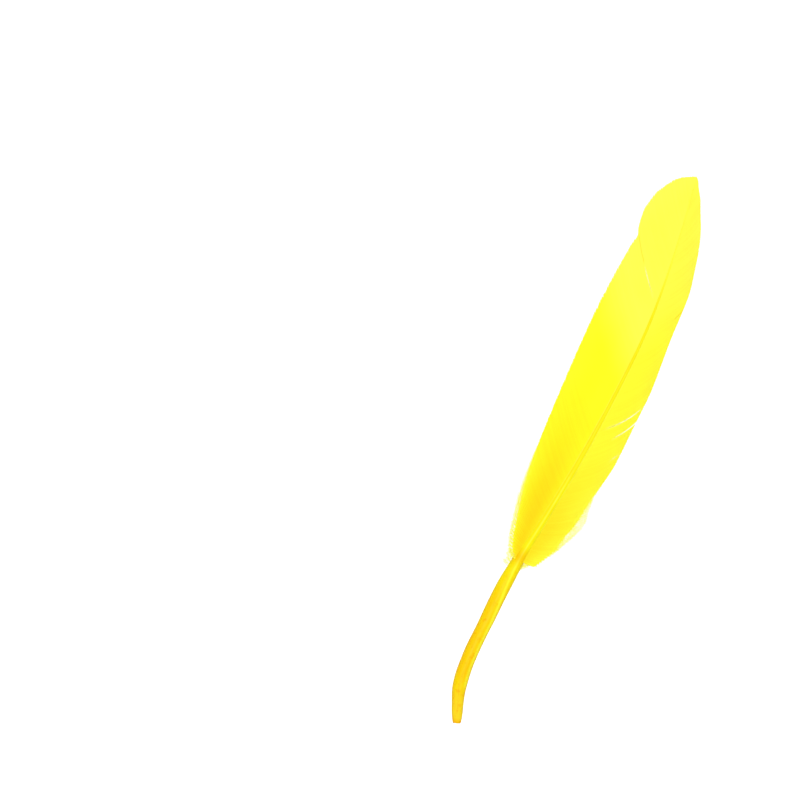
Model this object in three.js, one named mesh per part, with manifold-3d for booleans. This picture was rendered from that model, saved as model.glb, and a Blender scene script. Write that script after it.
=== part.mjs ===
import * as THREE from 'three';
import { mergeVertices } from 'three/addons/utils/BufferGeometryUtils.js';
import Module from 'manifold-3d';

// A goose quill feather, dyed yellow, lying with its smooth, domed upper side up.
// Millimetres, +Y along the feather to its tip, +Z up. Shapes are worked out from the quill's
// cut end at Y = 0, and the finished feather is then moved so that the middle of its box's
// underside is the origin.

// Driving dimensions
const FEATHER_LENGTH = 120;
const VANE_FOOT = 35.2;
const RACHIS_END = 116.5;
const SHAFT_PAST_LAST_BARB = 1;
const SHAFT_SIDES = 16;
const SHAFT_RINGS = 60;
const SHEET_LIFT = 0.25;
const SHEETS_CROSS = 0.12;
const BARB_BANDS = 38;
const BAND_RIDGE = 0.05;
const BAND_NOTCH = 0.022;
const ROWS_ALONG_BARB = 6;
const BOW_FADES_FROM = 104;
const QUILL_HOLE_RADIUS = 0.36;
const QUILL_HOLE_DEPTH = 3;
const QUILL_HOLE_SIDES = 10;
const GROOVE_DEPTH = 0.16;
const GROOVE_STARTS = 34;
const GROOVE_FULL = 52;
const SPLIT_STEPS = 8;
const OVER_ALL = 12;

// A smooth curve through [station, value] pairs, as a function of the station.
function profile(pairs) {
  const last = pairs.length - 1;
  const slopes = pairs.map((pair, i) => {
    const before = pairs[Math.max(i - 1, 0)];
    const after = pairs[Math.min(i + 1, last)];
    return (after[1] - before[1]) / (after[0] - before[0]);
  });
  return (station) => {
    const s = THREE.MathUtils.clamp(station, pairs[0][0], pairs[last][0]);
    const i = Math.max(Math.min(pairs.filter((pair) => pair[0] <= s).length - 1, last - 1), 0);
    const span = pairs[i + 1][0] - pairs[i][0];
    const u = (s - pairs[i][0]) / span;
    const rise = pairs[i + 1][1] - pairs[i][1];
    const bend = (1 - u) * (slopes[i] * span - rise) - u * (slopes[i + 1] * span - rise);
    return pairs[i][1] + u * rise + u * (1 - u) * bend;
  };
}

// The shaft, by distance from the cut end: its sideways line, width, depth and centre height.
const shaftLine = profile([
  [0, 0], [2.5, -1], [6, -2.25], [8.5, -2.72], [11, -2.97], [14.5, -3.07], [17, -3.01],
  [21, -2.82], [25, -2.68], [28, -2.52], [31, -2.28], [34, -1.96], [37, -1.58], [48, 0.03],
  [60, 1.45], [73, 2.5], [86, 3.1], [98, 2.65], [109, 1.55], [120, 0],
]);
const shaftWidth = profile([
  [0, 1.5], [1, 1.95], [2.5, 2.35], [6, 2.86], [12, 2.93], [17, 2.87], [21, 2.9], [26, 3.02],
  [29, 2.96], [32, 2.8], [34, 2.6], [36, 2.4], [40, 2.19], [44, 2.0], [54, 1.7], [66, 1.35],
  [80, 1.05], [94, 0.75], [108, 0.42], [117, 0.22],
]);
const shaftDepth = profile([
  [0, 1.35], [1, 1.75], [2.5, 2.05], [6, 2.5], [12, 2.6], [24, 2.5], [36, 2.35], [44, 2.15],
  [54, 1.9], [66, 1.6], [80, 1.3], [94, 0.95], [108, 0.55], [117, 0.3],
]);
const shaftHeight = profile([
  [0, 0.95], [2.5, 1.1], [6, 1.19], [12, 1.22], [20, 1.3], [28, 1.42], [36, 1.6], [50, 2.05],
  [65, 2.45], [80, 2.6], [95, 2.3], [108, 1.5], [117, 0.75], [120, 0.5],
]);

// Each vane: which side it is on, its outer edge, how far towards the tip a barb that grows at a
// station ends, how much its barbs bow, how far the sheet droops at a given distance out from the
// shaft, and how thick it is at the shaft and at the edge. The wide vane's barbs are the deeper
// ones. Both sheets pass a little over the shaft's middle, so that they join beyond its end.
const LEFT_VANE = {
  side: -1,
  edge: profile([
    [34.9, -2.6], [36.2, -4.3], [38.6, -5.3], [42, -6.1], [48, -7.0], [56, -7.55], [66, -7.85],
    [78, -7.95], [88, -7.8], [94, -7.4], [99.3, -6.9], [102, -6.6], [103.6, -6.37],
    [104.7, -6.12], [105.4, -6.36], [106.2, -6.64], [108, -6.88], [110, -7.03], [112.2, -6.6],
    [114.1, -6.1], [115.8, -5.1], [116.8, -4.5], [117.7, -3.8], [118.6, -2.75], [119.4, -1.35],
    [120, SHEETS_CROSS],
  ]),
  reach: profile([
    [35.2, -0.3], [36.4, -0.1], [38, 1.8], [40.5, 4.7], [46, 8], [56, 11], [70, 12.5],
    [84, 12.9], [92, 13.1], [100, 12.1], [105, 10.1], [110, 7.7], [114, 5], [116.5, 3.5],
  ]),
  bow: 0.03,
  droop: 2.6,
  droopAt: 10.8,
  thick: 0.46,
  thin: 0.26,
};
const RIGHT_VANE = {
  side: 1,
  edge: profile([
    [34.9, 1.7], [37, 2.9], [39.4, 4.4], [41.9, 5.6], [43.8, 6.5], [46, 7.35], [48, 7.45],
    [50, 7.05], [52, 6.95], [54, 7.25], [57, 7.85], [60, 8.3], [65, 8.55], [70, 8.75], [76, 9.0],
    [80, 8.85], [84, 8.6], [88, 8.4], [94, 8.35], [98, 8.15], [102, 7.4], [106, 6.55],
    [110, 5.3], [114, 3.5], [116, 2.6], [118, 1.35], [119.4, 0.62], [120, -SHEETS_CROSS],
  ]),
  reach: profile([
    [35.2, -0.3], [36.5, 0.6], [38.5, 2.2], [42, 4.5], [48, 6.8], [58, 8], [70, 8.4], [84, 8],
    [95, 7.6], [103, 7.2], [109, 6], [113, 4.8], [116.5, 3.5],
  ]),
  bow: 0.07,
  droop: 2.3,
  droopAt: 6.2,
  thick: 0.38,
  thin: 0.22,
};
const DROOP_POWER = 1.6;

// Where the barbs have come unhooked: the station that the gap grows from, how far out along
// the barb it starts and ends, and half its width at those two ends and between them.
const SPLITS = [
  { vane: RIGHT_VANE, root: 64.9, from: 0.2, to: 1.06, inner: 0.02, middle: 0.12, outer: 0.1 },
  { vane: RIGHT_VANE, root: 61.3, from: 0.5, to: 1.06, inner: 0.02, middle: 0.1, outer: 0.14 },
  { vane: LEFT_VANE, root: 92.7, from: 0.1, to: 0.62, inner: 0.02, middle: 0.2, outer: 0.03 },
];

// Height of the sheet's middle surface over the flat that the feather lies on.
function sheetHeight(vane, x, y) {
  const out = Math.abs(x - shaftLine(y)) / vane.droopAt;
  const root = shaftHeight(y) + SHEET_LIFT * shaftDepth(y);
  return root - vane.droop * Math.pow(out, DROOP_POWER);
}

// A barb's line in plan: from the middle of the shaft, bowed outward, to the vane's edge.
function barbPoint(vane, root, along) {
  const end = root + vane.reach(root);
  const start = new THREE.Vector2(shaftLine(root) - vane.side * SHEETS_CROSS, root);
  const run = new THREE.Vector2(vane.edge(end), end).sub(start);
  const straighter = 1 - THREE.MathUtils.smoothstep(root, BOW_FADES_FROM, RACHIS_END);
  const bow = 4 * vane.bow * straighter * along * (1 - along) * vane.side;
  return start.addScaledVector(run, along).add(new THREE.Vector2(bow * run.y, -bow * run.x));
}

// Turns a closed geometry into a solid that can be joined and cut.
function solidOf(geometry) {
  geometry.deleteAttribute('normal');
  geometry.deleteAttribute('uv');
  const merged = mergeVertices(geometry, 1e-4);
  return new wasm.Manifold(new wasm.Mesh({
    numProp: 3,
    vertProperties: new Float32Array(merged.attributes.position.array),
    triVerts: new Uint32Array(merged.index.array),
  }));
}

// Moves every vertex of a geometry to where place(x, y, z) puts it.
function reshape(geometry, place) {
  const position = geometry.attributes.position;
  for (let i = 0; i < position.count; i += 1) {
    const [x, y, z] = place(position.getX(i), position.getY(i), position.getZ(i));
    position.setXYZ(i, x, y, z);
  }
  return geometry;
}

// The shaft: a cylinder whose rings are set along the line, with a groove along the underside of
// the rachis, the quill's underside worn flat where it rests, and the small hole in its cut end.
function makeShaft() {
  const rod = new THREE.CylinderGeometry(1, 1, 1, SHAFT_SIDES, SHAFT_RINGS);
  const length = RACHIS_END + SHAFT_PAST_LAST_BARB;
  const lowestSide = -Math.cos(Math.PI / SHAFT_SIDES);
  const shaft = solidOf(reshape(rod, (x, y, z) => {
    const station = (y + 0.5) * length;
    const full = THREE.MathUtils.smoothstep(station, GROOVE_STARTS, GROOVE_FULL);
    const groove = z < lowestSide ? GROOVE_DEPTH * full : 0;
    return [
      shaftLine(station) + x * shaftWidth(station) / 2,
      station,
      shaftHeight(station) + (z + groove) * shaftDepth(station) / 2,
    ];
  }));
  const under = new THREE.BoxGeometry(2 * OVER_ALL, 2 * FEATHER_LENGTH, OVER_ALL);
  under.translate(0, FEATHER_LENGTH / 2, -OVER_ALL / 2);
  const hole = new THREE.CylinderGeometry(
    QUILL_HOLE_RADIUS, QUILL_HOLE_RADIUS, 2 * QUILL_HOLE_DEPTH, QUILL_HOLE_SIDES,
  );
  hole.rotateZ(Math.atan2(-shaftLine(QUILL_HOLE_DEPTH), QUILL_HOLE_DEPTH));
  hole.translate(0, 0, shaftHeight(0));
  return shaft.subtract(solidOf(under)).subtract(solidOf(hole));
}

// One vane: a slab whose columns are barbs. Every second column is a crest between two shallow
// furrows, and the furrows end a little short, which gives the edge its fine teeth.
function makeVane(vane) {
  const columns = 2 * BARB_BANDS;
  const slab = new THREE.BoxGeometry(1, 1, 1, ROWS_ALONG_BARB, columns, 1);
  return solidOf(reshape(slab, (x, y, z) => {
    const along = 0.5 + vane.side * x;
    const column = Math.round((y + 0.5) * columns);
    const furrow = column % 2 === 1;
    const root = VANE_FOOT + (RACHIS_END - VANE_FOOT) * column / columns;
    const plan = barbPoint(vane, root, along * (furrow ? 1 - BAND_NOTCH : 1));
    const thickness = THREE.MathUtils.lerp(vane.thick, vane.thin, along);
    const underside = Math.max(sheetHeight(vane, plan.x, plan.y) - thickness / 2, 0);
    const ridge = (furrow ? -BAND_RIDGE : BAND_RIDGE) * THREE.MathUtils.smoothstep(along, 0, 0.5);
    return [plan.x, plan.y, z < 0 ? underside : underside + thickness + ridge];
  }));
}

// A gap between two barbs, as a thin upright blade that follows the barb's line.
function makeSplit(split) {
  const width = profile([
    [split.from, split.inner], [(split.from + split.to) / 2, split.middle], [split.to, split.outer],
  ]);
  const sides = [[], []];
  for (let i = 0; i <= SPLIT_STEPS; i += 1) {
    const along = THREE.MathUtils.lerp(split.from, split.to, i / SPLIT_STEPS);
    const point = barbPoint(split.vane, split.root, along);
    const ahead = barbPoint(split.vane, split.root, along + 0.01).sub(point).normalize();
    const across = new THREE.Vector2(-ahead.y, ahead.x).multiplyScalar(width(along));
    sides[0].push(point.clone().sub(across));
    sides[1].unshift(point.clone().add(across));
  }
  const outline = new THREE.Shape(sides.flat());
  const blade = new THREE.ExtrudeGeometry(outline, { depth: OVER_ALL, bevelEnabled: false });
  return solidOf(blade.translate(0, 0, -OVER_ALL / 2));
}

const wasm = await Module();
wasm.setup();

let feather = makeShaft().add(makeVane(LEFT_VANE)).add(makeVane(RIGHT_VANE));
for (const split of SPLITS) {
  feather = feather.subtract(makeSplit(split));
}

const mesh = feather.getMesh();
const geometry = new THREE.BufferGeometry();
geometry.setAttribute('position', new THREE.BufferAttribute(new Float32Array(mesh.vertProperties), 3));
geometry.setIndex(new THREE.BufferAttribute(new Uint32Array(mesh.triVerts), 1));
geometry.computeBoundingBox();
const box = geometry.boundingBox;
geometry.translate(-(box.min.x + box.max.x) / 2, -(box.min.y + box.max.y) / 2, -box.min.z);
geometry.computeVertexNormals();

const dyedKeratin = new THREE.MeshStandardMaterial({
  color: new THREE.Color(1.0, 0.96, 0.22),
  roughness: 0.45,
  metalness: 0,
});
const featherMesh = new THREE.Mesh(geometry, dyedKeratin);
featherMesh.name = 'feather';

const part = new THREE.Group();
part.add(featherMesh);

export default part;
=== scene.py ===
# %% [markdown]
# A goose quill feather, dyed yellow, lying on a pale table with its domed upper side up.
#
# A feather is one thing that grew: a hollow quill runs on into a tapering shaft, the rachis, and
# the rachis carries some hundreds of barbs on each side. Each barb is a thin blade with a fringe
# of tiny hooked barbules that hold it to the next one, so the rows of barbs make the two smooth
# sheets called vanes. At the foot of the vane the barbules have no hooks, and the barbs are down.
#
# The plan is to build it in the same way: one tube for the quill and the rachis, one ribbon for
# each barb, and fine fibres for the down. Every surface is a formula, worked out for whole
# arrays of points at once. Lengths in the formulas are millimetres from the quill's cut end.

import math

import bpy
import numpy as np
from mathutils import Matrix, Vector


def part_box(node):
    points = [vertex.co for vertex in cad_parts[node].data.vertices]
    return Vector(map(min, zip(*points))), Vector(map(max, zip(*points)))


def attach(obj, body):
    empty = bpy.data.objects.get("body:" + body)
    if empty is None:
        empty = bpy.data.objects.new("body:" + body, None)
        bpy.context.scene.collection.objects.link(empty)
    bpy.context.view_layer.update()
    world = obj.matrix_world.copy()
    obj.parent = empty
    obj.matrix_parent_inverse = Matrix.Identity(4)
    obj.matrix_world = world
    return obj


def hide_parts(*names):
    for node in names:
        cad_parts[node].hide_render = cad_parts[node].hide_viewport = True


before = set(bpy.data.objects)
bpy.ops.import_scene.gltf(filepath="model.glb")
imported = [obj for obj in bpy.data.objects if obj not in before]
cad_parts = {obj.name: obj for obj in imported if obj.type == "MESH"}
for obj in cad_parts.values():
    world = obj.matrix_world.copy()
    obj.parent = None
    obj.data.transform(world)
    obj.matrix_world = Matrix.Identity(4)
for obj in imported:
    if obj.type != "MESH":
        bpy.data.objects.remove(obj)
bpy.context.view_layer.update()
MM = 0.001

# %% [markdown]
# ## Smooth curves through a few points
# A width, a height or an outline is given by a few points, such as "2.95 mm wide
# at 12 mm". They could be joined by straight lines, but corners would show in the gloss. A cubic
# between neighbours, with the slope at each point taken from the points on its two sides, is
# smooth and goes through all of them.

# %% Smooth curves
def smooth_curve(pairs):
    """Value at a station: between two points, the straight line plus u(1-u) times a blend of
    how much the slopes at its two ends differ from the line's own."""
    stations, values = np.array(pairs, float).T
    slopes = np.gradient(values, stations)
    slopes[1:-1] = (values[2:] - values[:-2]) / (stations[2:] - stations[:-2])

    def at(station):
        s = np.clip(station, stations[0], stations[-1])
        i = np.clip(np.searchsorted(stations, s, side="right") - 1, 0, len(stations) - 2)
        span = stations[i + 1] - stations[i]
        u = (s - stations[i]) / span
        rise = values[i + 1] - values[i]
        bend = (1 - u) * (slopes[i] * span - rise) - u * (slopes[i + 1] * span - rise)
        return values[i] + u * rise + u * (1 - u) * bend

    return at


def smooth_step(value, low, high):
    """0 below low, 1 above high, and 3t^2 - 2t^3 between them."""
    t = np.clip((value - low) / (high - low), 0, 1)
    return t * t * (3 - 2 * t)


# %% [markdown]
# ## The feather's own measures
# These are the sizes that the solid in the frame was made from. The quill bends near its end,
# the rachis swings gently the other way, and the left vane is the wider one, as on a flight
# feather from the right side of the bird.

# %% Measures of the shaft and the vanes
FEATHER_LENGTH = 120
VANE_FOOT = 35.2
RACHIS_END = 116.5
SHEET_LIFT = 0.25
DROOP_POWER = 1.6
BOW_FADES_FROM = 104

shaft_line = smooth_curve([
    (0, 0), (2.5, -1), (6, -2.25), (8.5, -2.72), (11, -2.97), (14.5, -3.07), (17, -3.01),
    (21, -2.82), (25, -2.68), (28, -2.52), (31, -2.28), (34, -1.96), (37, -1.58), (48, 0.03),
    (60, 1.45), (73, 2.5), (86, 3.1), (98, 2.65), (109, 1.55), (120, 0),
])
shaft_width = smooth_curve([
    (0, 1.5), (1, 1.95), (2.5, 2.35), (6, 2.86), (12, 2.93), (17, 2.87), (21, 2.9), (26, 3.02),
    (29, 2.96), (32, 2.8), (34, 2.6), (36, 2.4), (40, 2.19), (44, 2.0), (54, 1.7), (66, 1.35),
    (80, 1.05), (94, 0.75), (108, 0.42), (117, 0.22),
])
shaft_depth = smooth_curve([
    (0, 1.35), (1, 1.75), (2.5, 2.05), (6, 2.5), (12, 2.6), (24, 2.5), (36, 2.35), (44, 2.15),
    (54, 1.9), (66, 1.6), (80, 1.3), (94, 0.95), (108, 0.55), (117, 0.3),
])
shaft_height = smooth_curve([
    (0, 0.95), (2.5, 1.1), (6, 1.19), (12, 1.22), (20, 1.3), (28, 1.42), (36, 1.6), (50, 2.05),
    (65, 2.45), (80, 2.6), (95, 2.3), (108, 1.5), (117, 0.75), (120, 0.5),
])

left_edge = smooth_curve([
    (34.9, -2.6), (36.2, -4.3), (38.6, -5.3), (42, -6.1), (48, -7.0), (56, -7.55), (66, -7.85),
    (78, -7.95), (88, -7.8), (94, -7.4), (99.3, -6.9), (102, -6.6), (103.6, -6.37),
    (104.7, -6.12), (105.4, -6.36), (106.2, -6.64), (108, -6.88), (110, -7.03), (112.2, -6.6),
    (114.1, -6.1), (115.8, -5.1), (116.8, -4.5), (117.7, -3.8), (118.6, -2.75), (119.4, -1.35),
    (120, 0.12),
])
right_edge = smooth_curve([
    (34.9, 1.7), (37, 2.9), (39.4, 4.4), (41.9, 5.6), (43.8, 6.5), (46, 7.35), (48, 7.45),
    (50, 7.05), (52, 6.95), (54, 7.25), (57, 7.85), (60, 8.3), (65, 8.55), (70, 8.75), (76, 9.0),
    (80, 8.85), (84, 8.6), (88, 8.4), (94, 8.35), (98, 8.15), (102, 7.4), (106, 6.55),
    (110, 5.3), (114, 3.5), (116, 2.6), (118, 1.35), (119.4, 0.62), (120, -0.12),
])
left_reach = smooth_curve([
    (35.2, -0.3), (36.4, -0.1), (38, 1.8), (40.5, 4.7), (46, 8), (56, 11), (70, 12.5),
    (84, 12.9), (92, 13.1), (100, 12.1), (105, 10.1), (110, 7.7), (114, 5), (116.5, 3.5),
])
right_reach = smooth_curve([
    (35.2, -0.3), (36.5, 0.6), (38.5, 2.2), (42, 4.5), (48, 6.8), (58, 8), (70, 8.4), (84, 8),
    (95, 7.6), (103, 7.2), (109, 6), (113, 4.8), (116.5, 3.5),
])

# %% [markdown]
# A split in a vane is a place where the hooks have let go. Nothing is missing there: the barbs
# on its two sides have only moved apart. So a split is described by the station that it grows
# from and by half its width at a few places along the barb, and the barbs are pushed aside by
# that much. Where the width is below zero, the barbs have slid over each other instead.
#
# Each vane also has its side (-1 left, 1 right), its edge, how far up the shaft its barbs reach,
# how deep it droops at a distance from the shaft, how much its barbs bow, how far they run past
# the drawn edge, and how much of each barb's end is free of its neighbours.

# %% The vanes and their splits
LEFT = {
    "side": -1, "edge": left_edge, "reach": left_reach, "droop": 2.6, "droop_at": 10.8,
    "bow": 0.03, "past_edge": 1.004,
    "free": smooth_curve([(35.2, 0.5), (37, 0.9), (40, 1.3), (44, 0.8), (50, 0)]),
    "splits": [
        {"root": 92.7, "half": smooth_curve([
            (0.1, 0), (0.2, 0.035), (0.32, 0.07), (0.42, 0.085), (0.5, 0.035), (0.57, -0.04),
            (0.7, -0.18), (1, -0.12),
        ])},
    ],
}
RIGHT = {
    "side": 1, "edge": right_edge, "reach": right_reach, "droop": 2.3, "droop_at": 6.2,
    "bow": 0.07, "past_edge": 1.04,
    "free": smooth_curve([
        (35.2, 0.2), (38, 0.7), (39.4, 1.6), (41, 2.6), (42.6, 2.4), (44.5, 1.3), (47, 0.4), (51, 0),
    ]),
    "splits": [
        {"root": 64.9, "half": smooth_curve([
            (0.12, 0), (0.3, 0.035), (0.5, 0.065), (0.75, 0.08), (0.92, 0.05), (1, 0.025),
        ])},
        {"root": 61.3, "half": smooth_curve([(0.46, 0), (0.6, 0.055), (0.8, 0.08), (1, 0.11)])},
        {"root": 55.1, "half": smooth_curve([(0.74, 0), (0.83, 0.05), (0.92, 0.035), (1, 0)])},
        {"root": 86.1, "half": smooth_curve([(0.7, 0), (0.82, -0.06), (1, -0.06)])},
    ],
}

# %% [markdown]
# ## Placing the feather in the frame
# The formulas start at the quill's cut end, and the frame's origin is under the middle of the
# feather. The outline's own reach to the left and right, set against the frame's box, gives the
# move from one to the other, so no offset has to be typed in.

# %% From the feather's own millimetres to the frame
solid_low, solid_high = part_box("feather")
outline_stations = np.linspace(VANE_FOOT, FEATHER_LENGTH, 800)
outline_middle = (left_edge(outline_stations).min() + right_edge(outline_stations).max()) / 2
shift = np.array([(solid_low.x + solid_high.x) / 2 - outline_middle * MM, solid_low.y, solid_low.z])


def to_frame(points_mm):
    """Points in the feather's millimetres, as metres in the frame."""
    return points_mm * MM + shift


print("move from the quill's end to the frame, mm:", (shift / MM).round(3))

# %% [markdown]
# ## Meshes from grids of points
# A tube, a ribbon and a fibre are all the same thing to the computer: a ring of points carried
# along a line. So one function makes the mesh of any number of such strands at once, from an
# array of points with four indices: strand, step along it, point round it, and x, y, z. Four
# neighbours make a face, and the first and last rings are closed with one face each.

# %% Strands to mesh
def strand_faces(strands, steps, sides):
    """Corner numbers of the side faces and of the two end faces of every strand. Point number
    = (strand * steps + step) * sides + side, and a face joins side and side + 1 of two steps."""
    number = np.arange(strands * steps * sides).reshape(strands, steps, sides)
    after = np.roll(number, -1, axis=2)
    walls = np.stack([number[:, :-1], after[:, :-1], after[:, 1:], number[:, 1:]], axis=-1)
    caps = np.concatenate([number[:, 0, ::-1], number[:, -1]])
    return walls.reshape(-1, 4), caps


def strand_piece(name, points_mm, values, rounded=True):
    """One mesh object from points[strand, step, side, xyz]. Each entry of values is an array
    that fits points without its last index, and is kept as a number on the mesh's points.
    Rounded strands are shaded smoothly across their side faces."""
    strands, steps, sides, _ = points_mm.shape
    walls, caps = strand_faces(strands, steps, sides)
    corners = np.concatenate([walls.ravel(), caps.ravel()])
    sizes = np.concatenate([np.full(len(walls), 4), np.full(len(caps), sides)])
    mesh = bpy.data.meshes.new(name)
    mesh.vertices.add(points_mm.size // 3)
    mesh.vertices.foreach_set("co", to_frame(points_mm).ravel())
    mesh.loops.add(len(corners))
    mesh.loops.foreach_set("vertex_index", corners)
    mesh.polygons.add(len(sizes))
    mesh.polygons.foreach_set("loop_start", np.concatenate([[0], np.cumsum(sizes)[:-1]]))
    mesh.polygons.foreach_set("use_smooth", (sizes == 4) & rounded)
    mesh.update(calc_edges=True)
    mesh.validate()
    for label, value in values.items():
        layer = mesh.attributes.new(label, "FLOAT", "POINT")
        layer.data.foreach_set("value", np.broadcast_to(value, points_mm.shape[:-1]).ravel())
    piece = bpy.data.objects.new(name, mesh)
    bpy.context.scene.collection.objects.link(piece)
    triangles = int((sizes - 2).sum())
    print(f"{name}: {strands} strands, {triangles} triangles")
    return piece


# %% [markdown]
# ## Quill and rachis
# The quill is a round tube of horn with a thin wall. Where the vane starts it fills with pith,
# turns squarer and gets a groove along its underside. It could be a curve with a round bevel,
# but a bevel can't change from round to grooved. So the tube is a formula: a ring that is a
# circle in the quill and a rounded square in the rachis, carried along the shaft's line.
#
# The rings start inside the hollow end, come out over the cut rim and run on to the tip, so the
# open end has a real wall. Wall thicknesses of more than half the width close the hollow's end.
# The cut is slanted a little, with its left side longer, and ragged.

# %% Quill and rachis
RING_SIDES = 48
HOLLOW_DEPTH = 5.0
WALL = 0.2
SQUARENESS = 0.24
GROOVE_DEPTH = 0.34
GROOVE_WIDTH = 0.3
SHOULDER_DROP = 0.05
SHOULDER_AT = 0.62
SHOULDER_WIDTH = 0.16
CUT_SLANT = 0.25
CUT_FADES = 4
ON_TABLE = 0.01

hollow_end = np.linspace(HOLLOW_DEPTH + 0.5, HOLLOW_DEPTH, 3)
hollow = np.linspace(HOLLOW_DEPTH - 0.5, 0.08, 10)
rim = [0.0, 0.0, 0.06]
outside = np.concatenate([np.linspace(0.3, 10, 34), np.linspace(10.4, RACHIS_END + 0.9, 250)])
ring_station = np.concatenate([hollow_end, hollow, rim, outside])
ring_wall = np.concatenate([
    [9.0, 1.0, 0.55], np.full(len(hollow), 1.0), [0.8, 0.25, 0.0], np.zeros(len(outside)),
]) * WALL


def shaft_surface(station, turn, inside):
    """Point on the shaft: the ring's middle, plus cos and sin of the turn times half the width
    and half the depth, both less the wall where inside is above zero. The rounded square raises
    cos and sin to a power below 1. The groove lifts the ring's lowest part, and two shallow
    shoulders lower its upper part beside the middle."""
    square = 1 - SQUARENESS * smooth_step(station, VANE_FOOT - 6, VANE_FOOT + 20)
    across = np.sign(np.cos(turn)) * np.abs(np.cos(turn)) ** square
    up = np.sign(np.sin(turn)) * np.abs(np.sin(turn)) ** square
    in_vane = smooth_step(station, VANE_FOOT - 3, VANE_FOOT + 16)
    groove = GROOVE_DEPTH * in_vane * np.exp(-(across / GROOVE_WIDTH) ** 2) * (up < 0)
    off_shoulder = (np.abs(across) - SHOULDER_AT) / SHOULDER_WIDTH
    shoulder = SHOULDER_DROP * in_vane * np.exp(-off_shoulder ** 2) * (up > 0)
    waver = 1 + 0.012 * np.sin(station * 0.9 + 2 * turn) + 0.01 * np.sin(station * 0.37 - turn)
    half_width = np.maximum(shaft_width(station) / 2 * waver - inside, 0)
    half_depth = np.maximum(shaft_depth(station) / 2 * waver - inside, 0)
    x = shaft_line(station) + across * half_width
    z = shaft_height(station) + (up + groove - shoulder) * half_depth
    return x, z


def cut_edge(station, turn):
    """How far the cut moves a ring's points along the shaft: a slant times cos of the turn, plus
    a few small waves round the rim, fading to nothing a little above the cut."""
    ragged = 0.03 * np.sin(3 * turn + 1.1) + 0.02 * np.sin(7 * turn)
    return (CUT_SLANT * np.cos(turn) + ragged) * (1 - smooth_step(station, 0, CUT_FADES))


turns = np.arange(RING_SIDES) / RING_SIDES * 2 * np.pi
station_grid, turn_grid = np.meshgrid(ring_station, turns, indexing="ij")
shaft_x, shaft_z = shaft_surface(station_grid, turn_grid, ring_wall[:, None])
shaft_y = station_grid + cut_edge(station_grid, turn_grid)
shaft_points = np.stack([shaft_x, shaft_y, np.maximum(shaft_z, ON_TABLE)], axis=-1)[None]
quill = strand_piece("quill_and_rachis", shaft_points, {
    "station": station_grid[None], "turn": (turn_grid / (2 * np.pi))[None],
    "inside": (np.clip(ring_wall, 0, WALL) / WALL)[None, :, None],
})

# %% [markdown]
# ## The line of a barb
# A barb leaves the rachis at about 40 degrees and bends a little towards the tip, so in plan it
# is a straight run from its root to the vane's edge plus a shallow bow. Its height is that of
# the vane's sheet: highest along the rachis, and drooping towards the edge with the power 1.6
# of the distance. Where the barbs join the rachis they are thicker, so the sheet swells there.
# Where the sheet would pass through the table, it lies on it instead.

# %% Barb lines
SHEET_RIPPLE = 0.07
ROOT_SWELL = 0.13
SWELL_WIDTH = 0.9
FLOOR_CLEARANCE = 0.14
FLOOR_SOFTNESS = 0.02
SPLIT_GAIN = 1.6
SPLIT_SPREAD = 2.6
HELD_AT_ROOT = 0.05


def pushed_aside(vane, root, along, strand_root):
    """The root whose barb line a strand follows: its own, moved away from each split by half the
    split's width times a gain, because barb lines lie closer together than their roots. The
    move fades with the distance from the split."""
    followed = np.broadcast_to(root, np.broadcast_shapes(root.shape, along.shape))
    for split in vane["splits"]:
        away = strand_root - split["root"]
        half = split["half"](along) * SPLIT_GAIN * (along > HELD_AT_ROOT)
        fading = np.exp(-np.abs(root - split["root"]) / SPLIT_SPREAD)
        followed = followed + np.sign(away) * half * fading
    return np.clip(followed, VANE_FOOT, RACHIS_END)


def barb_line(vane, root, along):
    """Plan of a barb: root + along * (end - root), bowed sideways by 4 * bow * along *
    (1 - along), where the end lies on the vane's edge."""
    end = root + vane["reach"](root)
    start_x = shaft_line(root)
    run_x = vane["edge"](end) - start_x
    run_y = end - root
    straighter = 1 - smooth_step(root, BOW_FADES_FROM, RACHIS_END)
    bow = 4 * vane["bow"] * straighter * along * (1 - along) * vane["side"]
    return start_x + along * run_x + bow * run_y, root + along * run_y - bow * run_x


def sheet_height(vane, x, y):
    """Height of the vane's sheet: the rachis's height less droop * (distance / droop_at)^1.6,
    plus a swell where the barbs join the rachis and a slow ripple, and never lower than a
    barb's half depth over the table."""
    away = np.abs(x - shaft_line(y))
    out = away / vane["droop_at"]
    swell = ROOT_SWELL * np.exp(-(away / (SWELL_WIDTH * shaft_width(y))) ** 2)
    crest = shaft_height(y) + (SHEET_LIFT + swell) * shaft_depth(y)
    ripple = np.sin(0.55 * y + 0.5 * vane["side"] * x) + 0.6 * np.sin(0.23 * y - 0.9 * x + 1)
    drooped = crest - vane["droop"] * out ** DROOP_POWER
    over = drooped + SHEET_RIPPLE * ripple * np.clip(out, 0, 1) - FLOOR_CLEARANCE
    return FLOOR_CLEARANCE + (over + np.sqrt(over * over + FLOOR_SOFTNESS)) / 2
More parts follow.
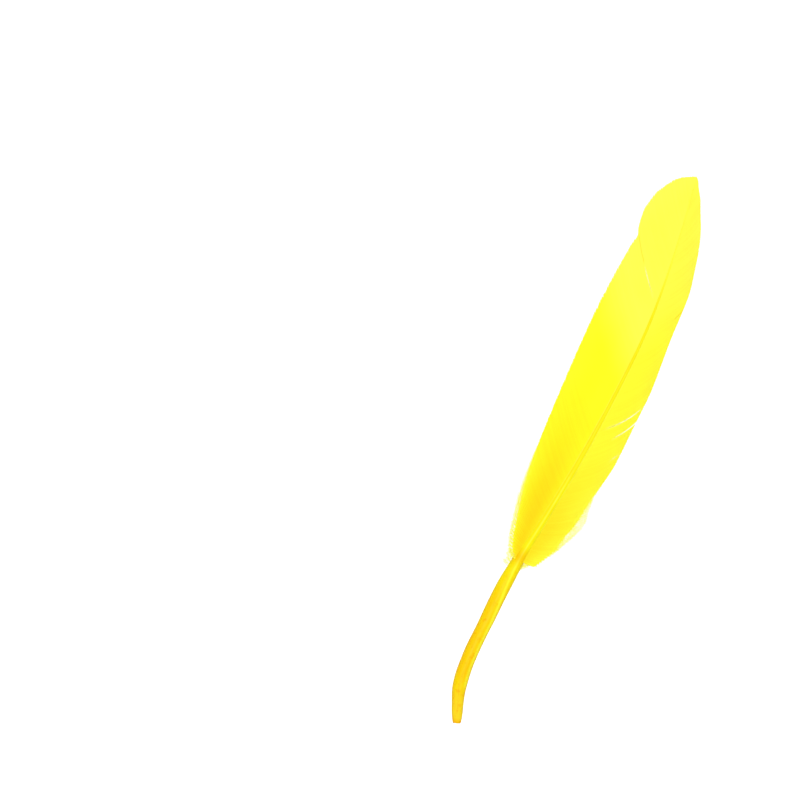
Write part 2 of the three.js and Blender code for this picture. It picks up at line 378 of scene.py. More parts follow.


# %% [markdown]
# ## Barbs as ribbons
# Each barb is one closed ribbon with eight points round it: a thin edge on each side, where the
# barbules reach the next barb, four points for the flat ridge on top and two for the deeper keel
# underneath. The ribbon's edges run along the barb lines half a spacing away, so neighbours
# always meet, however the spacing changes. A solid sheet with lines drawn on it would be less
# work, but its edge would be a clean curve, and its splits would look cut with a knife.
#
# A ribbon narrows where its barbules stand free, at the foot of the vane, and ends in a blunt
# tip. The free ends are painted paler: painted light against the shade seen between them. Beside
# an open split the barbs get a painted highlight where the unhooked barbules catch the light, and
# where barbs have slid over each other they lie higher and are painted deeper: painted shade.

# %% Barb ribbons
BARBS_A_SIDE = 236
LAP = 0.59
RIDGE = 0.022
KEEL_AT_ROOT = 0.13
KEEL_AT_TIP = 0.05
TIP_FROM = 0.95
TIP_LENGTH = 0.05
BARE_BLEND = 0.06
BARE_NARROWING = 0.8
UNEVEN_ENDS = 0.0045
END_WAVE = 0.003
STRAY = 0.09
barb_steps = np.concatenate([
    np.linspace(0, 0.88, 19), [0.915, 0.945, 0.962, 0.975, 0.986, 0.995, 1],
])
ribbon_offset = np.array([LAP, 0.48, 0.14, -0.14, -0.48, -LAP, -0.12, 0.12])
ribbon_height = np.array([0.014, 0.018, RIDGE, RIDGE, 0.01, -0.014, 0, 0])
ribbon_keel = np.array([0, 0, 0, 0, 0, 0, 1, 1])


def free_from(vane, root):
    """How far out along a barb its barbules still have hooks: 1 less the free length of the
    barb's end over the barb's length."""
    end = root + vane["reach"](root)
    length = np.hypot(vane["edge"](end) - shaft_line(root), end - root)
    return 1 - vane["free"](root) / length


# %% What a split does to the barbs beside it
SLID_LIFT = 0.1
SLID_PAINTED_SHADE = 5.0
BESIDE_SPLIT = 0.3
PARTED_PAINTED_LIGHT = 0.9


def round_split(root, split, past):
    """Bell round a place just past a split: e to minus the square of distance over spread."""
    return np.exp(-((root - split["root"] - past) / BESIDE_SPLIT) ** 2)


def split_marks(vane, root, along):
    """How high each barb lies over the next one, the painted shade on it there, and the painted
    light on barbs beside an open split, as a sum over all the splits. The first two count where
    the split's half width is below zero, and the last one where it is above."""
    lifted, slid_painted_shade, parted_painted_light = 0, 0, 0
    for split in vane["splits"]:
        half = split["half"](along)
        above = np.exp(-np.abs(root - split["root"] - 0.5)) * (root > split["root"])
        lifted = lifted + SLID_LIFT * above * (half < 0)
        # Painted shade: barbs that have slid over their neighbours are made deeper in colour.
        slid_painted_shade = slid_painted_shade + round_split(root, split, 0.2) * (half < -0.02)
        # Painted light: barbs beside an open split are made paler, a painted highlight of loose
        # barbules.
        parted_painted_light = parted_painted_light + round_split(root, split, 0) * smooth_step(half, 0, 0.03)
    return lifted, SLID_PAINTED_SHADE * slid_painted_shade, PARTED_PAINTED_LIGHT * parted_painted_light


# %% All the ribbons of a vane
def barb_ribbons(vane, seed):
    """Points of all the ribbons of a vane, with how far out along its barb each one is, its root's
    station, a chance number for each barb plus the painted shade where barbs have slid, and how
    free its end is plus the painted light beside open splits, which both make it paler. The right
    vane is a mirror image, so its rings are turned round to keep the faces looking outward."""
    chance = np.random.default_rng(seed)
    root = np.linspace(VANE_FOOT + 0.25, RACHIS_END - 0.2, BARBS_A_SIDE)[:, None, None]
    spacing = root[1, 0, 0] - root[0, 0, 0]
    tone_and_slid_shade = chance.random(root.shape)
    shorter = np.abs(chance.normal(0, UNEVEN_ENDS, root.shape))
    stray = chance.normal(0, STRAY, root.shape)
    out = barb_steps[None, :, None]
    along = out * (vane["past_edge"] - shorter - END_WAVE * (1 + np.sin(root * 2.1)))
    in_tip = (out - TIP_FROM) / TIP_LENGTH * (out > TIP_FROM)
    blunt = np.sqrt(np.clip(1 - in_tip ** 2, 0, 1))
    hooked_to = free_from(vane, root)
    bare_and_painted_light = smooth_step(along, hooked_to, hooked_to + BARE_BLEND)
    width = np.maximum(blunt, 0.04) * (1 - BARE_NARROWING * bare_and_painted_light)
    own_root = root + stray * spacing * along ** 6
    followed = pushed_aside(vane, own_root + ribbon_offset * spacing * width, along, root)
    x, y = barb_line(vane, followed, along)
    lifted, slid_painted_shade, parted_painted_light = split_marks(vane, root, along)
    keel = KEEL_AT_ROOT + (KEEL_AT_TIP - KEEL_AT_ROOT) * along
    relief = (ribbon_height - ribbon_keel * keel) * np.maximum(blunt, 0.1)
    z = np.maximum(sheet_height(vane, x, y) + relief + lifted, ON_TABLE)
    points = np.stack([x, y, z], axis=-1)
    if vane["side"] > 0:
        points = points[:, :, ::-1]
    return points, out, root, tone_and_slid_shade + slid_painted_shade, np.minimum(bare_and_painted_light + parted_painted_light, 1)


vane_pieces = []
for vane_name, vane, seed in (("left_vane", LEFT, 11), ("right_vane", RIGHT, 12)):
    ribbon_points, out, root, tone_and_slid_shade, bare_and_painted_light = barb_ribbons(vane, seed)
    vane_pieces.append(strand_piece(vane_name, ribbon_points, {
        "out": out, "station": root, "tone_and_slid_shade": tone_and_slid_shade, "bare_and_painted_light": bare_and_painted_light,
    }))

# %% [markdown]
# ## Down at the foot of the vane
# The lowest barbs have long soft barbules with no hooks. They stand apart and make the pale,
# see-through fringe at the foot. Each fibre is a three-sided thread: a line from its start in
# its own direction, curled by a term that grows with the square of the distance. One of the
# three sides faces up and the threads are shaded flat, because smooth shading over so few sides
# makes dark streaks. A hair system would be quicker to set up, but its strands are no mesh.

# %% Fibres
FIBRE_SIDES = 3
FLAT_SIDE_UP = -1 / 12
FIBRE_TAPER = 0.8


def fibres(start, direction, length, curl, radius, steps):
    """Points[fibre, step, side, xyz]. A fibre is start + t * length * direction + t^2 * curl,
    and its radius shrinks from the root to a fifth at the tip."""
    t = np.linspace(0, 1, steps)[None, :, None]
    line = start[:, None] + t * length[:, None, None] * direction[:, None] + t * t * curl[:, None]
    ahead = np.gradient(line, axis=1)
    ahead /= np.linalg.norm(ahead, axis=-1, keepdims=True)
    side = np.cross(ahead, [0.0, 0.0, 1.0])
    side /= np.maximum(np.linalg.norm(side, axis=-1, keepdims=True), 1e-6)
    up = np.cross(side, ahead)
    turn = (np.arange(FIBRE_SIDES) / FIBRE_SIDES + FLAT_SIDE_UP) * 2 * np.pi
    thick = radius * (1 - FIBRE_TAPER * t)[..., None]
    ring = side[:, :, None] * np.cos(turn)[:, None] - up[:, :, None] * np.sin(turn)[:, None]
    points = line[:, :, None] + thick * ring
    points[..., 2] = np.maximum(points[..., 2], ON_TABLE)
    return points


# %% Barbules of the free barb ends
FREE_BARBS = 40
FREE_BARBS_TO = 48.5
BARBULES_A_BARB = 64
BARBULE_RADIUS = 0.011
BARBULE_LENGTHS = (0.45, 1.1)
BARBULE_ANGLE = 0.55
BARBULE_CURL = 0.14
BARBULE_STEPS = 6
FULL_LENGTH_FROM = 0.9


def free_barbules(vane, seed):
    """Threads that grow from the free outer part of the lowest barbs, about 32 degrees to each
    side of the barb by turns, and are shorter where the free part is short."""
    chance = np.random.default_rng(seed)
    roots = np.linspace(VANE_FOOT + 0.25, FREE_BARBS_TO, FREE_BARBS)
    root = np.repeat(roots, BARBULES_A_BARB)
    begin = np.minimum(free_from(vane, root) - 0.1, 1)
    along = begin + (1 - begin) * chance.random(root.shape) ** 0.8
    followed = pushed_aside(vane, root, along, root)
    x, y = barb_line(vane, followed, along)
    ahead_x, ahead_y = barb_line(vane, followed, along + 0.02)
    heading = np.arctan2(ahead_y - y, ahead_x - x)
    by_turns = np.where(np.arange(len(root)) % 2, 1, -1)
    heading += by_turns * chance.normal(BARBULE_ANGLE, 0.12, root.shape)
    start = np.stack([x, y, sheet_height(vane, x, y)], axis=-1)
    rise = chance.normal(0.0, 0.12, root.shape)
    direction = np.stack([np.cos(heading), np.sin(heading), rise], axis=-1)
    room = np.clip(vane["free"](root) / FULL_LENGTH_FROM, 0.2, 1)
    length = chance.uniform(*BARBULE_LENGTHS, root.shape) * room
    curl = chance.normal(0, BARBULE_CURL, (len(root), 3))
    keep = begin < 0.95
    threads = start[keep], direction[keep], length[keep], curl[keep]
    return fibres(*threads, BARBULE_RADIUS, BARBULE_STEPS)


# %% Tufts of down beside the shaft
TUFT_BARBS = 26
TUFT_BARBULES = 26
TUFT_FROM = VANE_FOOT - 2.2
TUFT_TO = VANE_FOOT + 3.5
TUFT_LENGTHS = (1.0, 2.4)
TUFT_LEANS = (28, 70)
TUFT_ANGLE = 0.7
TUFT_BARBULE_LENGTHS = (0.35, 0.8)
STEM_RADIUS = 2 * BARBULE_RADIUS
STEM_STEPS = 12
DOWN_STEPS = 7


def down_tuft(vane, seed):
    """Soft barbs that grow from the shaft's flank just below the vane, each with barbules, which
    start at places spread evenly along it."""
    chance = np.random.default_rng(seed)
    side = vane["side"]
    station = np.linspace(TUFT_FROM, TUFT_TO, TUFT_BARBS)
    x = shaft_line(station) + side * 0.42 * shaft_width(station)
    z = shaft_height(station) - 0.05 * shaft_depth(station)
    start = np.stack([x, station, z], axis=-1)
    heading = np.radians(90 - side * chance.uniform(*TUFT_LEANS, TUFT_BARBS))
    direction = np.stack([np.cos(heading), np.sin(heading), np.full(TUFT_BARBS, -0.15)], axis=-1)
    length = chance.uniform(*TUFT_LENGTHS, TUFT_BARBS)
    curl = chance.normal(0, 0.35, (TUFT_BARBS, 3)) * [1, 1, 0.15]
    stems = fibres(start, direction, length, curl, STEM_RADIUS, STEM_STEPS)
    t = np.tile(np.linspace(0.15, 0.98, TUFT_BARBULES), TUFT_BARBS)[:, None]
    stem = np.repeat(np.arange(TUFT_BARBS), TUFT_BARBULES)
    begin = start[stem] + t * length[stem, None] * direction[stem] + t * t * curl[stem]
    turn = heading[stem] + np.where(np.arange(len(stem)) % 2, 1, -1) * TUFT_ANGLE
    turn += chance.normal(0, 0.15, stem.shape)
    way = np.stack([np.cos(turn), np.sin(turn), chance.normal(0, 0.1, stem.shape)], axis=-1)
    reach = chance.uniform(*TUFT_BARBULE_LENGTHS, stem.shape)
    bend = chance.normal(0, 0.12, (len(stem), 3)) * [1, 1, 0.4]
    return stems, fibres(begin, way, reach, bend, BARBULE_RADIUS, BARBULE_STEPS)


def resampled(points, steps):
    """The same fibres with another number of steps, so that long and short ones can share one
    array: each new ring lies between two old ones."""
    place = np.linspace(0, points.shape[1] - 1, steps)
    low = np.minimum(place.astype(int), points.shape[1] - 2)
    part = (place - low)[None, :, None, None]
    return points[:, low] * (1 - part) + points[:, low + 1] * part


down_pieces = []
for down_name, vane, seed in (("left_down", LEFT, 21), ("right_down", RIGHT, 22)):
    stems, tuft = down_tuft(vane, seed)
    kinds = (free_barbules(vane, seed + 10), stems, tuft)
    threads = np.concatenate([resampled(kind, DOWN_STEPS) for kind in kinds])
    out = np.linspace(0, 1, DOWN_STEPS)[None, :, None]
    down_pieces.append(strand_piece(down_name, threads, {"out": out}, rounded=False))

# %% [markdown]
# ## Dyed horn and dyed barbs
# Feathers are dyed in a hot bath. The barbs take the dye evenly and thinly, so they come out
# lemon yellow, paler at the tips where they are thinnest. The quill is thick horn: the dye sits
# deeper there, in amber patches and round the cut, and its flanks are painted darker: painted shade.
#
# All the finishes share one effect, uneven dye: a main colour, drifting to a pale one and a deep
# one. It is a node group, built once, and each material gives it its own masks and patch size;
# the horn gives it its own colours too.

# %% Helpers for shader nodes
def add_node(tree, kind, **settings):
    """A new node of a kind, with its properties set by name."""
    node = tree.nodes.new(kind)
    for key, value in settings.items():
        setattr(node, key, value)
    return node


def plug(tree, socket, value):
    """Links a socket to another one, or sets it to a number or a colour."""
    if isinstance(value, bpy.types.NodeSocket):
        tree.links.new(value, socket)
    else:
        socket.default_value = value


def feed(tree, node, **inputs):
    """Plugs a node's inputs by name, in which underscores stand for spaces."""
    for key, value in inputs.items():
        plug(tree, node.inputs[key.replace("_", " ")], value)
    return node


def math_node(tree, operation, *values):
    """The result of one Math node on sockets or numbers."""
    node = add_node(tree, "ShaderNodeMath", operation=operation)
    for socket, value in zip(node.inputs, values):
        plug(tree, socket, value)
    return node.outputs[0]


def product(tree, *masks):
    """All the masks multiplied together."""
    result = masks[0]
    for mask in masks[1:]:
        result = math_node(tree, "MULTIPLY", result, mask)
    return result


def total(tree, *terms):
    """Sum of mask * weight over all pairs."""
    result = 0.0
    for mask, weight in terms:
        result = math_node(tree, "ADD", result, math_node(tree, "MULTIPLY", mask, weight))
    return result


def ramp(tree, value, low, high, start=0.0, end=1.0):
    """A smooth step from start to end while value goes from low to high."""
    node = add_node(tree, "ShaderNodeMapRange", interpolation_type="SMOOTHSTEP")
    feed(tree, node, Value=value, From_Min=low, From_Max=high, To_Min=start, To_Max=end)
    return node.outputs["Result"]


def bump_at(tree, value, middle, half_width):
    """1 where value is the middle, and 0 beyond half a width on each side: one less the distance
    over the half width, smoothed."""
    away = math_node(tree, "ABSOLUTE", math_node(tree, "SUBTRACT", value, middle))
    return ramp(tree, away, 0.0, half_width, 1.0, 0.0)


def blend_colours(tree, factor, first, second):
    """Two colours mixed by a factor."""
    node = add_node(tree, "ShaderNodeMix", data_type="RGBA")
    for number, value in ((0, factor), (6, first), (7, second)):
        plug(tree, node.inputs[number], value)
    return node.outputs[2]


def read_number(tree, label):
    """The number that the mesh's points hold under a label."""
    return add_node(tree, "ShaderNodeAttribute", attribute_name=label).outputs["Fac"]


# %% Uneven dye, shared by every finish
def build_uneven_dye():
    """Colour = main, towards pale by the pale mask, towards deep by the deep mask plus a slow
    noise of the given patch size in millimetres."""
    group = bpy.data.node_groups.new("uneven dye", "ShaderNodeTree")
    for name, kind, value in (
        ("Main", "NodeSocketColor", (0.91, 0.89, 0.01, 1)),
        ("Pale", "NodeSocketColor", (0.92, 0.92, 0.11, 1)),
        ("Deep", "NodeSocketColor", (0.90, 0.62, 0.002, 1)),
        ("Pale mask", "NodeSocketFloat", 0.0),
        ("Deep mask", "NodeSocketFloat", 0.0),
        ("Patch size", "NodeSocketFloat", 3.0),
        ("Patchiness", "NodeSocketFloat", 0.3),
    ):
        socket = group.interface.new_socket(name, in_out="INPUT", socket_type=kind)
        socket.default_value = value
    group.interface.new_socket("Colour", in_out="OUTPUT", socket_type="NodeSocketColor")
    given = add_node(group, "NodeGroupInput").outputs
    place = add_node(group, "ShaderNodeTexCoord").outputs["Object"]
    scale = math_node(group, "DIVIDE", 1 / MM, given["Patch size"])
    noise = add_node(group, "ShaderNodeTexNoise")
    feed(group, noise, Vector=place, Scale=scale, Detail=3.0, Roughness=0.55)
    patches = ramp(group, noise.outputs["Fac"], 0.42, 0.72)
    patches = math_node(group, "MULTIPLY", patches, given["Patchiness"])
    deep = math_node(group, "ADD", patches, given["Deep mask"])
    deep = math_node(group, "MINIMUM", deep, 1.0)
    colour = blend_colours(group, given["Pale mask"], given["Main"], given["Pale"])
    colour = blend_colours(group, deep, colour, given["Deep"])
    group.links.new(colour, add_node(group, "NodeGroupOutput").inputs["Colour"])
    return group


uneven_dye = build_uneven_dye()


def dyed(tree, **settings):
    """The uneven dye's colour with a finish's own settings."""
    node = add_node(tree, "ShaderNodeGroup", node_tree=uneven_dye)
    return feed(tree, node, **settings).outputs["Colour"]


# %% [markdown]
# A barb lets light through: a feather held to a lamp glows. So the barbs' shader is a mix of a
# satin surface and a translucent one. The satin comes from moderate roughness and a little
# sheen. Fine slanting lines in the bump stand for the barbules, which are too small to model.
# They come from a wave pattern, which repeats every 0.314 of a unit at a scale of 1.
#
# Each vane gets its own steps of pale and deep colour: pale to the tip, deep at the foot and, on
# the left, deepest in the middle of the barbs. On the left this deep step is partly dye and partly
# painted shade from the feathers beside and beneath it.

# %% Finish of the barbs
BARBULE_PITCH = 0.07
WAVE_SCALE = 0.314
TONE_DEPTH = 0.1
OUTER_PALENESS = 0.1


def finish_shader(tree, colour, roughness, gloss, through, sheen, normal=None):
    """A satin surface mixed with light that comes through it. Gloss is the surface's specular
    level, and through is the share of the light that passes."""
    surface = add_node(tree, "ShaderNodeBsdfPrincipled")
    feed(tree, surface, Base_Color=colour, Roughness=roughness, Specular_IOR_Level=gloss)
    feed(tree, surface, Sheen_Weight=sheen)
    glow = feed(tree, add_node(tree, "ShaderNodeBsdfTranslucent"), Color=colour)
    if normal is not None:
        feed(tree, surface, Normal=normal)
        feed(tree, glow, Normal=normal)
    mix = feed(tree, add_node(tree, "ShaderNodeMixShader"), Fac=through)
    tree.links.new(surface.outputs[0], mix.inputs[1])
    tree.links.new(glow.outputs[0], mix.inputs[2])
    tree.links.new(mix.outputs[0], add_node(tree, "ShaderNodeOutputMaterial").inputs["Surface"])


def new_finish(name):
    """An empty material and its node tree."""
    material = bpy.data.materials.new(name)
    material.use_nodes = True
    material.node_tree.nodes.clear()
    return material, material.node_tree


def barb_finish(name, slant, pale_step, deep_step, deep_across):
    """Lemon yellow barbs. Pale = a step along the shaft to the tip + a little outward + painted light
    on the free barb ends and beside open splits. Deep = a step from the foot times steps outward,
    partly painted shade on the left vane, + each barb's own chance and the painted shade where
    barbs have slid."""
    material, tree = new_finish(name)
    out = read_number(tree, "out")
    station = read_number(tree, "station")
    tone_and_slid_shade = read_number(tree, "tone_and_slid_shade")
    pale = total(
        tree, (ramp(tree, out, 0.35, 1.0), OUTER_PALENESS), (ramp(tree, station, *pale_step), 1.0),
        # Painted light: free barb ends and barbs beside open splits are made paler.
        (read_number(tree, "bare_and_painted_light"), 1.0),
    )
    pale = math_node(tree, "MINIMUM", pale, 1.0)
    steps_out = [ramp(tree, out, *step_out) for step_out in deep_across]
    at_foot = product(tree, ramp(tree, station, *deep_step), *steps_out)
    deep = total(tree, (at_foot, 1.0), (tone_and_slid_shade, TONE_DEPTH))
    colour = dyed(tree, Pale_mask=pale, Deep_mask=deep, Patch_size=7.0, Patchiness=0.05)
    place = add_node(tree, "ShaderNodeTexCoord").outputs["Object"]
    across_barbs = add_node(tree, "ShaderNodeMapping")
    feed(tree, across_barbs, Vector=place, Rotation=(0, 0, math.radians(slant)))
    lines = add_node(tree, "ShaderNodeTexWave", wave_type="BANDS", bands_direction="X")
    feed(tree, lines, Vector=across_barbs.outputs[0], Distortion=0.6)
    feed(tree, lines, Scale=WAVE_SCALE / (BARBULE_PITCH * MM))
    bump = add_node(tree, "ShaderNodeBump")
    feed(tree, bump, Strength=0.12, Distance=0.02 * MM, Height=lines.outputs["Fac"])
    finish_shader(
        tree, colour, roughness=0.5, gloss=0.06, through=0.32, sheen=0.02,
        normal=bump.outputs["Normal"],
    )
    return material


left_vane, right_vane = vane_pieces
# On the left vane the deep step at the foot is partly painted shade from neighbouring feathers.
left_vane.data.materials.append(barb_finish(
    "dyed barbs left with painted light and shade", slant=-75, pale_step=(73, 87, 0.0, 0.7), deep_step=(40, 72, 0.85, 0.0),
    deep_across=((0.03, 0.3, 0.6, 1.0), (0.3, 0.95, 1.0, 0.3)),
))
right_vane.data.materials.append(barb_finish(
    "dyed barbs right with painted light and shade", slant=75, pale_step=(78, 98, 0.25, 0.62),
    deep_step=(VANE_FOOT, 64, 0.6, 0.0), deep_across=((0.0, 0.8, 1.0, 0.1),),
))

# %% Finish of the down
def down_finish():
    """The same dye on threads so fine that they look nearly white."""
    material, tree = new_finish("dyed down")
    pale = ramp(tree, read_number(tree, "out"), 0.0, 1.0, 0.4, 1.0)
    colour = dyed(tree, Pale_mask=pale, Patch_size=2.0, Patchiness=0.05)
    finish_shader(tree, colour, roughness=0.6, gloss=0.12, through=0.45, sheen=0.0)
    return material


down_material = down_finish()
for piece in down_pieces:
    piece.data.materials.append(down_material)

# %% [markdown]
# The quill is smoother than the barbs. Its colour runs from lemon in the rachis to amber in the
# quill, with long streaks where the horn's layers differ, small orange flecks, painted shade on
# its flanks and inside its hollow end, a deep patch with a rounded end low down, a brown edge
# round the cut and an amber band at the vane's foot. The streaks are a noise stretched along the
# shaft: it reads the station and the turn round the shaft, so it follows the quill's bend.
#
# A painted highlight runs along the right of the quill and drifts to the middle of the rachis,
# where the left half has painted shade. The rachis's tip is pale, as the barbs are, and its
# flanks are painted paler: painted light against the shade on them.
# All of this could be painted on a picture, but masks keep their edges at any size.

# %% Finish of the quill and rachis
IN_QUILL = (24.0, 38.0)
ABOVE_FOOT = (34.0, 44.0)
FOOT_BAND = 35.8
ROUNDED_END = 2.4
GRAIN_DEPTH = 0.03 * MM


def stretched_noise(tree, station, across, up, stretch, scale, detail):
    """Noise on (station * stretch, across, up), so its grains are long where stretch is small."""
    place = add_node(tree, "ShaderNodeCombineXYZ")
    lengthwise = math_node(tree, "MULTIPLY", station, stretch)
    for socket, value in zip(place.inputs, (lengthwise, across, up)):
        plug(tree, socket, value)
    noise = add_node(tree, "ShaderNodeTexNoise")
    feed(tree, noise, Vector=place.outputs[0], Scale=scale, Detail=detail, Roughness=0.6)
    return noise.outputs["Fac"]


def painted_highlight_band(tree, station, across):
    """A painted highlight: a narrow band round one place across the shaft, which drifts from the
    right to the middle and narrows on the way, and which fades out at both ends."""
    middle = ramp(tree, station, 20.0, 38.0, 0.7, 0.0)
    half_width = ramp(tree, station, 24.0, 40.0, 0.4, 0.17)
    return product(
        tree, bump_at(tree, across, middle, half_width),
        ramp(tree, station, 46.0, 60.0, 1.0, 0.0), ramp(tree, station, 6.0, 9.0),
    )


def deep_in_horn(tree, station, across, flank, streak, fleck, painted_highlight):
    """How deep the colour is: the sum of what the quill, its patch, streaks, flecks, left streak, cut
    and band at the vane's foot add, with painted shade on the quill's flanks, on the rachis's left
    half and inside the hollow, less the painted highlight."""
    in_quill = ramp(tree, station, *IN_QUILL, 1.0, 0.0)
    rounded = math_node(tree, "SUBTRACT", station, math_node(tree, "MULTIPLY", flank, ROUNDED_END))
    fading_up = ramp(tree, station, 11.0, 21.0, 1.0, 0.0)
    low_patch = product(tree, ramp(tree, rounded, 6.6, 8.4), fading_up)
    above_patch = ramp(tree, station, 13.0, 17.0)
    left_streak = product(tree, bump_at(tree, across, -0.35, 0.6), in_quill, above_patch)
    on_left = ramp(tree, across, -0.2, 0.3, 1.0, 0.0)
    # Painted shade: above the vane's foot the rachis's left half is made a little deeper.
    left_half_painted_shade = product(tree, on_left, ramp(tree, station, *ABOVE_FOOT))
    at_cut = ramp(tree, station, 0.0, 1.2, 1.0, 0.0)
    deep = total(
        tree, (in_quill, 0.4), (low_patch, 0.15), (left_streak, 0.12), (left_half_painted_shade, 0.1),
        (product(tree, ramp(tree, streak, 0.5, 0.72), in_quill), 0.25),
        (product(tree, ramp(tree, fleck, 0.54, 0.7), in_quill), 0.35),
        # Painted shade: the quill's flanks are made deeper, standing in for the shade at its sides.
        (product(tree, ramp(tree, flank, 0.85, 1.0), in_quill), 0.2),
        # Painted shade: the inner wall of the hollow end is made deeper, as in a recess.
        (at_cut, 0.4), (read_number(tree, "inside"), 0.5),
        (bump_at(tree, station, FOOT_BAND, 2.8), 0.5), (product(tree, painted_highlight, in_quill), -0.45),
    )
    return math_node(tree, "MAXIMUM", deep, 0.0)


def pale_in_horn(tree, station, flank, streak, painted_highlight):
    """How pale the horn is: the sum of faint streaks, the painted highlight, the rachis's tip,
    painted light on its flanks and sides, and the stretch just above the cut."""
    above_foot = ramp(tree, station, *ABOVE_FOOT)
    up_the_rachis = ramp(tree, station, 34.0, 72.0, 0.2, 0.85)
    # Painted light: the rachis's flanks and sides are made paler against the shade that falls on
    # them.
    rachis_flank_painted_light = product(tree, ramp(tree, flank, 0.3, 0.65), up_the_rachis, above_foot)
    rachis_side_painted_light = product(tree, ramp(tree, flank, 0.75, 0.95), above_foot)
    pale = total(
        tree, (ramp(tree, streak, 0.3, 0.46, 1.0, 0.0), 0.06), (painted_highlight, 0.4),
        (ramp(tree, station, 88.0, 109.0), 0.8), (rachis_flank_painted_light, 1.0), (rachis_side_painted_light, 0.5),
        (ramp(tree, station, 3.0, 8.0, 1.0, 0.0), 0.35),
    )
    return math_node(tree, "MINIMUM", pale, 1.0)


# %% Dyed horn
def horn_finish():
    """The horn's own colours with its two masks, which hold painted highlight, light and shade as
    well as dye, and a bump of the lengthwise streaks.
    """
    material, tree = new_finish("dyed horn with painted light and shade")
    station = read_number(tree, "station")
    round_turn = math_node(tree, "MULTIPLY", read_number(tree, "turn"), 2 * math.pi)
    across = math_node(tree, "COSINE", round_turn)
    up = math_node(tree, "SINE", round_turn)
    flank = math_node(tree, "ABSOLUTE", across)
    streak = stretched_noise(tree, station, across, up, stretch=0.14, scale=2.6, detail=4.0)
    fleck = stretched_noise(tree, station, across, up, stretch=0.8, scale=1.7, detail=3.0)
    # Painted highlight: a pale band along the quill and the rachis, in place of the gloss's shine.
    painted_highlight = painted_highlight_band(tree, station, across)
    colour = dyed(
        tree, Main=(0.76, 0.7, 0.002, 1), Pale=(0.88, 0.87, 0.06, 1), Deep=(0.77, 0.36, 0.001, 1),
        Deep_mask=deep_in_horn(tree, station, across, flank, streak, fleck, painted_highlight),
        Pale_mask=pale_in_horn(tree, station, flank, streak, painted_highlight),
        Patch_size=4.0, Patchiness=0.08,
    )
    bump = add_node(tree, "ShaderNodeBump")
    feed(tree, bump, Strength=0.25, Distance=GRAIN_DEPTH, Height=streak)
    roughness = ramp(tree, streak, 0.3, 0.7, 0.42, 0.56)
    finish_shader(
        tree, colour, roughness, gloss=0.06, through=0.2, sheen=0.0,
        normal=bump.outputs["Normal"],
    )
    return material


quill.data.materials.append(horn_finish())

# %% [markdown]
# ## Joining the model to the frame
# The feather has one body, so every piece rides on it, and together they stand for the one solid.

# %% Riding on the body
for piece, slot in (
    (quill, "quill"), (left_vane, "vane"), (right_vane, "vane"),
    (down_pieces[0], "vane"), (down_pieces[1], "vane"),
):
    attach(piece, "root")
    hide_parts("feather")

# %% [markdown]
# ## Table, light and camera
# The photograph was taken from straight above, in even light on pure white. A table nearly white,
# an even sky and one small lamp round the lens give the same: light from the lens throws no
# shadow that the lens sees. A large lamp on one side would be the usual choice, but it leaves a
# soft shadow. The camera is turned so that the feather leans to the right as it does there: two
# points of the photograph, the quill's end and the tip, set the scale, the turn and the place.

# %% Table
TABLE_UNDER = 0.05 * MM
HALF_TABLE = 3.0
TABLE_WHITE = (0.93, 0.93, 0.93, 1)


def plain_plane(name, half, height, colour):
    """A square of table."""
    mesh = bpy.data.meshes.new(name)
    signs = ((-1, -1), (1, -1), (1, 1), (-1, 1))
    mesh.from_pydata([(a * half, b * half, height) for a, b in signs], [], [(0, 1, 2, 3)])
    table = bpy.data.objects.new(name, mesh)
    bpy.context.scene.collection.objects.link(table)
    material, tree = new_finish("white table")
    surface = feed(tree, add_node(tree, "ShaderNodeBsdfPrincipled"), Base_Color=colour, Roughness=0.9)
    tree.links.new(surface.outputs[0], add_node(tree, "ShaderNodeOutputMaterial").inputs["Surface"])
    mesh.materials.append(material)
    return table


plain_plane("table", HALF_TABLE, -TABLE_UNDER, TABLE_WHITE)

# %% Light
SKY_STRENGTH = 0.34
LAMP_SIZE = 0.04
LAMP_WATTS = 3.8

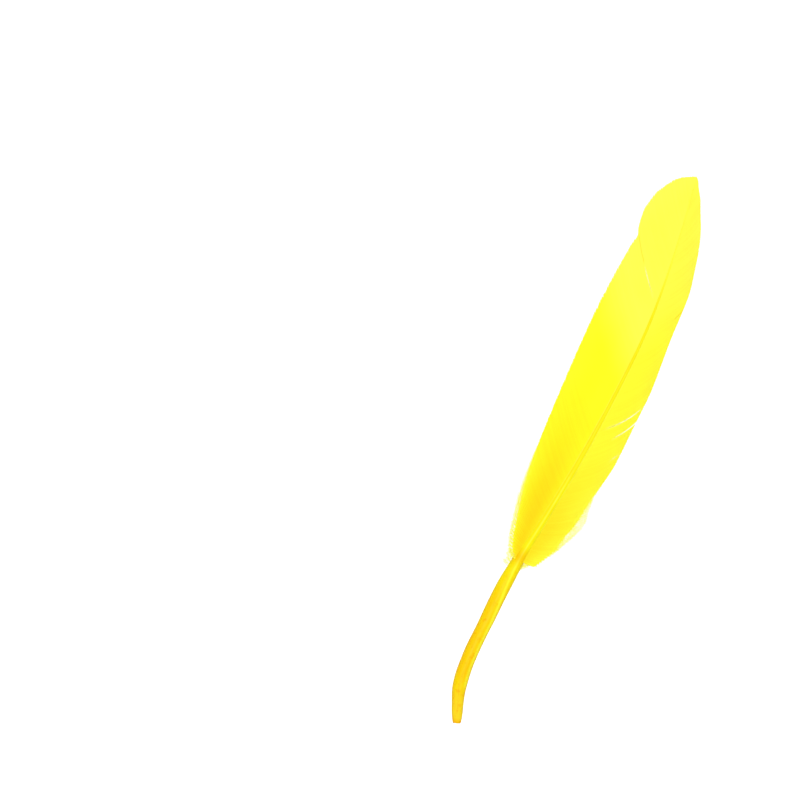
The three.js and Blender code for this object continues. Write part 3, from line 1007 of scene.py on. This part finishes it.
world = bpy.data.worlds.new("bright room")
bpy.context.scene.world = world
world.use_nodes = True
sky = world.node_tree.nodes["Background"]
feed(world.node_tree, sky, Color=(1, 1, 1, 1), Strength=SKY_STRENGTH)


def soft_lamp(name, place, size, watts):
    """A square lamp that faces straight down."""
    data = bpy.data.lights.new(name, "AREA")
    data.size = size
    data.energy = watts
    lamp = bpy.data.objects.new(name, data)
    lamp.location = place
    bpy.context.scene.collection.objects.link(lamp)
    return lamp


# %% Camera
IMAGE_SIZE = 800
QUILL_END_PIXEL = (456.7, 722.9)
TIP_PIXEL = (696.5, 176.3)
LENS = 120
SENSOR = 36
VANE_HEIGHT = 0.8 * MM
LAMP_BACK = 10 * MM

quill_end = np.array([shift[0], shift[1]])
run = np.array([TIP_PIXEL[0] - QUILL_END_PIXEL[0], QUILL_END_PIXEL[1] - TIP_PIXEL[1]])
metres_a_pixel = FEATHER_LENGTH * MM / np.hypot(*run)
lean = math.atan2(run[0], run[1])
to_centre = np.array([IMAGE_SIZE / 2 - QUILL_END_PIXEL[0], QUILL_END_PIXEL[1] - IMAGE_SIZE / 2])
centre_offset = np.array([
    to_centre[0] * math.cos(lean) - to_centre[1] * math.sin(lean),
    to_centre[0] * math.sin(lean) + to_centre[1] * math.cos(lean),
])
centre = quill_end + centre_offset * metres_a_pixel
distance = IMAGE_SIZE * metres_a_pixel * LENS / SENSOR
camera_data = bpy.data.cameras.new("camera")
camera_data.lens = LENS
camera_data.sensor_width = SENSOR
camera_data.clip_start = 0.01
camera = bpy.data.objects.new("camera", camera_data)
camera.location = (centre[0], centre[1], distance + VANE_HEIGHT)
camera.rotation_euler = (0, 0, lean)
bpy.context.scene.collection.objects.link(camera)
bpy.context.scene.camera = camera
bpy.context.scene.view_settings.view_transform = "Standard"
lamp_place = (centre[0], centre[1], distance + LAMP_BACK)
soft_lamp("lamp round the lens", lamp_place, LAMP_SIZE, LAMP_WATTS)
print("mm per pixel:", round(metres_a_pixel / MM, 4), "lean:", round(math.degrees(lean), 2))
